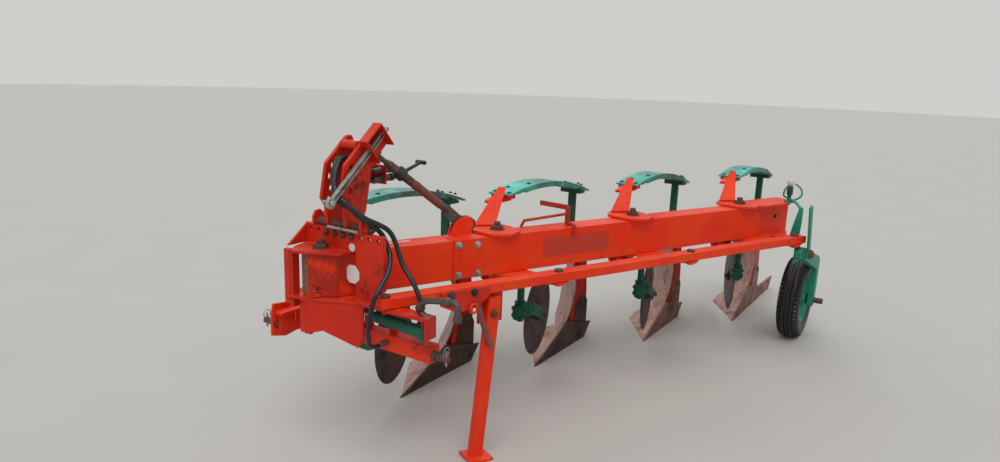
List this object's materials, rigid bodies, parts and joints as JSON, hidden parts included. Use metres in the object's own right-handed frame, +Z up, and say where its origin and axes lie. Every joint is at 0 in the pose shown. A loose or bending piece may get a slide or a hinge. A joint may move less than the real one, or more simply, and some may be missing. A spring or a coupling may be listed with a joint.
{
  "type": "mounted mouldboard plough",
  "caption": "Tractor-mounted mouldboard plough with staggered sprung bodies on a swinging box beam, disc coulters, depth wheel and parking stand.",
  "frame": {"origin": "middle of the whole plough seen from above, at ground level", "axes": "+X forward in the direction of travel, +Y to the land side (left), +Z up"},
  "size_m": [4.1675, 1.9028, 1.4572],
  "materials": {
    "red_paint": "orange-red paint, worn to the steel at the edges",
    "teal_paint": "green paint, chipped",
    "dark_green_paint": "dark green paint with dirt",
    "worn_steel": "soil-polished steel under a film of brown rust",
    "dark_steel": "dark rusty steel",
    "zinc": "dull zinc coating",
    "rusty_paint": "brown-red worn paint",
    "black_rubber": "black tyre rubber, dusty",
    "hose_rubber": "black hose rubber"
  },
  "bodies": {
    "headstock": {"headstock_frame": "red_paint", "hitch_arm_right": "red_paint", "hitch_arm_left": "red_paint", "mast": "red_paint", "mast_bracket": "red_paint", "top_link_bar": "zinc", "hose_front": "hose_rubber", "hose_rear": "hose_rubber", "couplers": "zinc", "leaf_spring_1": "teal_paint", "strut_1": "teal_paint", "leg_1": "red_paint", "mouldboard_1": "worn_steel", "share_1": "worn_steel", "landside_1": "dark_steel", "coulter_arm_1": "dark_green_paint"},
    "beam": {"main_beam": "red_paint", "swing_lever": "dark_steel", "beam_rod": "red_paint"},
    "unit_2": {"unit_bracket_2": "red_paint", "leaf_spring_2": "teal_paint", "strut_2": "teal_paint", "leg_2": "red_paint", "mouldboard_2": "worn_steel", "share_2": "worn_steel", "landside_2": "dark_steel", "coulter_arm_2": "dark_green_paint"},
    "unit_3": {"unit_bracket_3": "red_paint", "leaf_spring_3": "teal_paint", "strut_3": "teal_paint", "leg_3": "red_paint", "mouldboard_3": "worn_steel", "share_3": "worn_steel", "landside_3": "dark_steel", "coulter_arm_3": "dark_green_paint"},
    "unit_4": {"unit_bracket_4": "red_paint", "leaf_spring_4": "teal_paint", "strut_4": "teal_paint", "leg_4": "red_paint", "mouldboard_4": "worn_steel", "share_4": "worn_steel", "landside_4": "dark_steel", "coulter_arm_4": "dark_green_paint", "wheel_bracket": "red_paint", "wheel_screw": "teal_paint"},
    "disc_1": {"coulter_disc_1": "dark_steel"},
    "disc_2": {"coulter_disc_2": "dark_steel"},
    "disc_3": {"coulter_disc_3": "dark_steel"},
    "disc_4": {"coulter_disc_4": "dark_steel"},
    "bar": {"steering_bar": "red_paint", "stand_bracket": "red_paint"},
    "stand": {"stand_leg": "red_paint"},
    "stay": {"stay": "rusty_paint"},
    "barrel": {"cylinder_barrel": "dark_green_paint"},
    "rod": {"cylinder_rod": "zinc"},
    "wheel_arm": {"wheel_arm": "teal_paint"},
    "wheel": {"wheel_rim": "teal_paint", "tyre": "black_rubber"}
  },
  "joints": [
    {"name": "furrow_width", "type": "hinge", "parent": "headstock", "child": "beam", "pos_m": [1.9798, -0.5166, 0.847], "axis": [0, 0, -1], "range_deg": [-3, 12]},
    {"name": "unit_2_pivot", "type": "hinge", "parent": "beam", "child": "unit_2", "pos_m": [1.20329, -0.17087, 0.847], "axis": [0, 0, -1], "range_deg": [-12.5, 3.5]},
    {"name": "unit_3_pivot", "type": "hinge", "parent": "beam", "child": "unit_3", "pos_m": [0.42677, 0.17485, 0.847], "axis": [0, 0, -1], "range_deg": [-12.5, 3.5]},
    {"name": "unit_4_pivot", "type": "hinge", "parent": "beam", "child": "unit_4", "pos_m": [-0.34974, 0.52058, 0.847], "axis": [0, 0, -1], "range_deg": [-12.5, 3.5]},
    {"name": "bar_pivot", "type": "hinge", "parent": "headstock", "child": "bar", "pos_m": [1.9498, -0.1946, 0.779], "axis": [0, 0, -1], "range_deg": [-3.5, 12.5]},
    {"name": "stay_pivot", "type": "hinge", "parent": "headstock", "child": "stay", "pos_m": [1.7298, -0.4586, 1.325], "axis": [0, 0, -1], "range_deg": [-6, 21]},
    {"name": "barrel_pivot", "type": "hinge", "parent": "headstock", "child": "barrel", "pos_m": [1.9248, -0.0206, 0.684], "axis": [0, 0, 1], "range_deg": [-1, 1]},
    {"name": "rod_stroke", "type": "slide", "parent": "barrel", "child": "rod", "axis": [-0.1236, -0.9923, 0], "range_m": [-0.03, 0.01]},
    {"name": "stand_pivot", "type": "hinge", "parent": "bar", "child": "stand", "pos_m": [1.51923, 0.02337, 0.668], "axis": [0.4067, 0.9135, 0], "range_deg": [0, 90]},
    {"name": "wheel_depth", "type": "hinge", "parent": "unit_4", "child": "wheel_arm", "pos_m": [-0.4502, 0.8784, 0.69], "axis": [0, -1, 0], "range_deg": [-20, 0]},
    {"name": "wheel_turn", "type": "hinge", "parent": "wheel_arm", "child": "wheel", "pos_m": [-0.9882, 0.7854, 0.268], "axis": [0, 1, 0], "continuous": true},
    {"name": "disc_1_turn", "type": "hinge", "parent": "headstock", "child": "disc_1", "pos_m": [1.36846, -0.66056, 0.34], "axis": [-0.309, 0.9511, 0], "continuous": true},
    {"name": "disc_2_turn", "type": "hinge", "parent": "unit_2", "child": "disc_2", "pos_m": [0.58466, -0.28601, 0.34], "axis": [-0.2079, 0.9781, 0], "continuous": true},
    {"name": "disc_3_turn", "type": "hinge", "parent": "unit_3", "child": "disc_3", "pos_m": [-0.19085, 0.05486, 0.34], "axis": [-0.225, 0.9744, 0], "continuous": true},
    {"name": "disc_4_turn", "type": "hinge", "parent": "unit_4", "child": "disc_4", "pos_m": [-0.95081, 0.34872, 0.34], "axis": [-0.4067, 0.9135, 0], "continuous": true}
  ],
  "couplings": [
    {"joint": "unit_2_pivot", "follows": "furrow_width", "ratio": -1},
    {"joint": "unit_3_pivot", "follows": "furrow_width", "ratio": -1},
    {"joint": "unit_4_pivot", "follows": "furrow_width", "ratio": -1},
    {"joint": "bar_pivot", "follows": "furrow_width", "ratio": 1},
    {"joint": "stay_pivot", "follows": "furrow_width", "ratio": 1.53},
    {"joint": "barrel_pivot", "follows": "furrow_width", "ratio": -0.03},
    {"joint": "rod_stroke", "follows": "furrow_width", "m_per_rad": -0.117}
  ]
}
